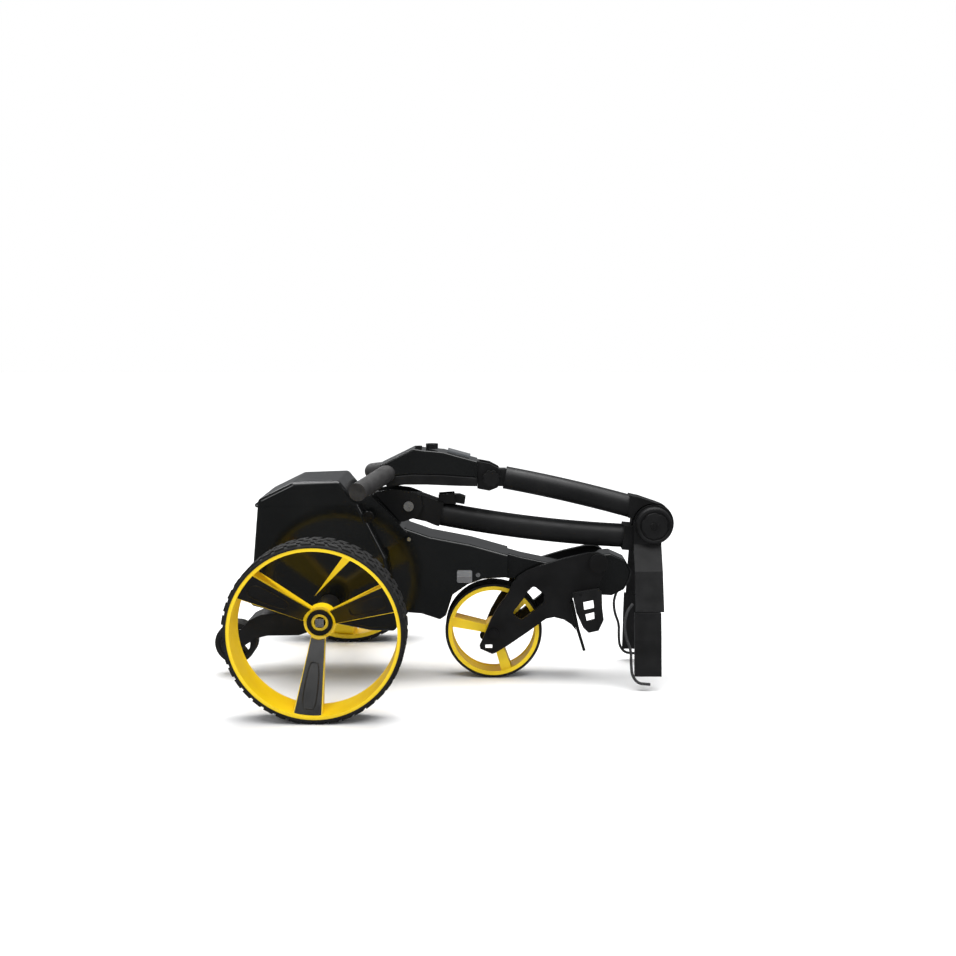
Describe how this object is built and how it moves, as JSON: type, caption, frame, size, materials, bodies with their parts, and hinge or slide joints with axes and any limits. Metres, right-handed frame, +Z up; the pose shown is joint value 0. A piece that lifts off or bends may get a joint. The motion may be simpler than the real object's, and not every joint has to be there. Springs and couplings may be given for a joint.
{
  "type": "electric golf trolley",
  "caption": "Folded three-wheel electric golf trolley with large dished rear wheels, a powered rear housing, a folding front fork, a bag cradle and a swept handle.",
  "frame": {"origin": "on the floor, under the centre of the overall box", "axes": "+X forward, towards the front wheel and the cradle; +Y to the trolley's left; +Z up"},
  "size_m": [0.8369, 0.6, 0.429],
  "materials": {
    "gloss_black": "high gloss moulded black",
    "matte_black": "matte black powder coat",
    "tube_black": "satin black powder coat",
    "black_plastic": "fine textured black",
    "yellow": "moulded yellow",
    "tyre": "black rubber tread",
    "steel": "brushed",
    "alloy": "satin",
    "grip": "soft grip",
    "battery": "battery case",
    "board": "circuit board",
    "cord": "braided elastic cord",
    "window": "dark display window"
  },
  "bodies": {
    "chassis": {"housing_shell_right": "gloss_black", "housing_shell_left": "gloss_black", "neck_shell_right": "gloss_black", "neck_shell_left": "gloss_black", "lid_hinge_pin": "steel", "battery_pack": "battery", "controller_board": "board", "side_stripes": "yellow", "gearbox_case": "alloy", "motor_can": "steel", "axle_tubes": "tube_black", "axle_bearings": "steel", "frame_bracket": "matte_black", "frame_hinge_bolt": "steel", "neck_screws": "steel", "anti_tip_arm": "black_plastic", "anti_tip_pin": "steel"},
    "battery_lid": {"battery_lid": "gloss_black"},
    "fold_latch": {"fold_latch": "alloy"},
    "drive_axle": {"rear_axle": "steel", "drive_gear": "steel"},
    "motor_rotor": {"motor_pinion": "steel"},
    "wheel_right": {"rear_tyre_right": "tyre", "rear_rim_right": "yellow", "rear_spoke_panels_right": "gloss_black"},
    "wheel_left": {"rear_tyre_left": "tyre", "rear_rim_left": "yellow", "rear_spoke_panels_left": "gloss_black"},
    "collar_right": {"rear_release_collar_right": "black_plastic"},
    "collar_left": {"rear_release_collar_left": "black_plastic"},
    "anti_tip_wheel": {"anti_tip_tyre": "tyre", "anti_tip_core": "black_plastic"},
    "fork": {"fork_plate_right": "matte_black", "fork_plate_left": "matte_black", "fork_pivot_bolt": "black_plastic", "bag_shelf": "matte_black", "front_axle": "steel"},
    "front_wheel": {"front_tyre": "tyre", "front_rim": "yellow", "front_bearings": "steel"},
    "strap_buckle": {"strap_buckle": "black_plastic"},
    "main_frame": {"frame_knuckle": "matte_black", "lower_tube": "tube_black", "hinge_knuckle": "matte_black", "mid_hinge_bolt": "black_plastic", "cradle_arms": "black_plastic", "cradle_pads": "black_plastic", "cradle_bungees": "cord"},
    "fold_lever": {"fold_lever": "black_plastic"},
    "upper_frame": {"upper_elbow": "matte_black", "upper_tube": "tube_black"},
    "handle": {"handle_clamp": "black_plastic", "handle_upper_shell": "gloss_black", "handle_lower_shell": "black_plastic", "handle_bars": "alloy", "handle_grips": "grip", "display_window": "window"},
    "handle_knob": {"handle_knob": "black_plastic"},
    "speed_dial": {"speed_dial": "black_plastic"},
    "power_button": {"power_button": "black_plastic"}
  },
  "joints": [
    {"name": "frame_fold", "type": "hinge", "parent": "chassis", "child": "main_frame", "pos_m": [-0.061, 0, 0.319], "axis": [0, -1, 0], "range_deg": [0, 78]},
    {"name": "handle_fold", "type": "hinge", "parent": "main_frame", "child": "upper_frame", "pos_m": [0.38, 0, 0.2847], "axis": [0, 1, 0], "range_deg": [0, 125]},
    {"name": "fork_fold", "type": "hinge", "parent": "chassis", "child": "fork", "pos_m": [0.28, 0, 0.218], "axis": [0, -1, 0], "range_deg": [0, 110]},
    {"name": "handle_tilt", "type": "hinge", "parent": "upper_frame", "child": "handle", "pos_m": [0.087, 0, 0.369], "axis": [0, 1, 0], "range_deg": [0, 60]},
    {"name": "handle_knob_turn", "type": "hinge", "parent": "handle", "child": "handle_knob", "pos_m": [0.087, 0, 0.369], "axis": [0, 1, 0], "range_deg": [0, 360]},
    {"name": "axle_spin", "type": "hinge", "parent": "chassis", "child": "drive_axle", "pos_m": [-0.2, 0, 0.1492], "axis": [0, 1, 0], "continuous": true},
    {"name": "motor_spin", "type": "hinge", "parent": "chassis", "child": "motor_rotor", "pos_m": [-0.2061, 0, 0.18377], "axis": [0, 1, 0], "continuous": true},
    {"name": "right_wheel_spin", "type": "hinge", "parent": "chassis", "child": "wheel_right", "pos_m": [-0.2, 0, 0.1492], "axis": [0, 1, 0], "continuous": true},
    {"name": "left_wheel_spin", "type": "hinge", "parent": "chassis", "child": "wheel_left", "pos_m": [-0.2, 0, 0.1492], "axis": [0, 1, 0], "continuous": true},
    {"name": "front_wheel_spin", "type": "hinge", "parent": "fork", "child": "front_wheel", "pos_m": [0.092, 0, 0.0884], "axis": [0, 1, 0], "continuous": true},
    {"name": "anti_tip_spin", "type": "hinge", "parent": "chassis", "child": "anti_tip_wheel", "pos_m": [-0.381, 0, 0.0636], "axis": [0, 1, 0], "continuous": true},
    {"name": "right_collar_press", "type": "slide", "parent": "wheel_right", "child": "collar_right", "axis": [0, 1, 0], "range_m": [0, 0.005], "stiffness_N_per_m": 400},
    {"name": "left_collar_press", "type": "slide", "parent": "wheel_left", "child": "collar_left", "axis": [0, -1, 0], "range_m": [0, 0.005], "stiffness_N_per_m": 400},
    {"name": "battery_lid_hinge", "type": "hinge", "parent": "chassis", "child": "battery_lid", "pos_m": [-0.3272, 0, 0.3258], "axis": [0, -1, 0], "range_deg": [0, 75]},
    {"name": "fold_latch_slide", "type": "slide", "parent": "chassis", "child": "fold_latch", "axis": [0, 0, 1], "range_m": [0, 0.008], "stiffness_N_per_m": 300},
    {"name": "fold_lever_turn", "type": "hinge", "parent": "main_frame", "child": "fold_lever", "pos_m": [0.012, 0, 0.33], "axis": [0, -1, 0], "range_deg": [0, 20], "stiffness_Nm_per_rad": 0.5},
    {"name": "strap_buckle_swing", "type": "hinge", "parent": "fork", "child": "strap_buckle", "pos_m": [0.247, 0, 0.163], "axis": [0, -1, 0], "range_deg": [0, 25]},
    {"name": "speed_dial_turn", "type": "hinge", "parent": "handle", "child": "speed_dial", "pos_m": [-0.02, 0, 0.424], "axis": [0, 0, 1], "range_deg": [0, 270]},
    {"name": "power_button_press", "type": "slide", "parent": "handle", "child": "power_button", "axis": [0, 0, -1], "range_m": [0, 0.0015], "stiffness_N_per_m": 500}
  ],
  "couplings": [
    {"joint": "handle_fold", "follows": "frame_fold", "ratio": 1.6},
    {"joint": "fork_fold", "follows": "frame_fold", "ratio": 1.41},
    {"joint": "motor_spin", "follows": "axle_spin", "ratio": -1.8}
  ]
}
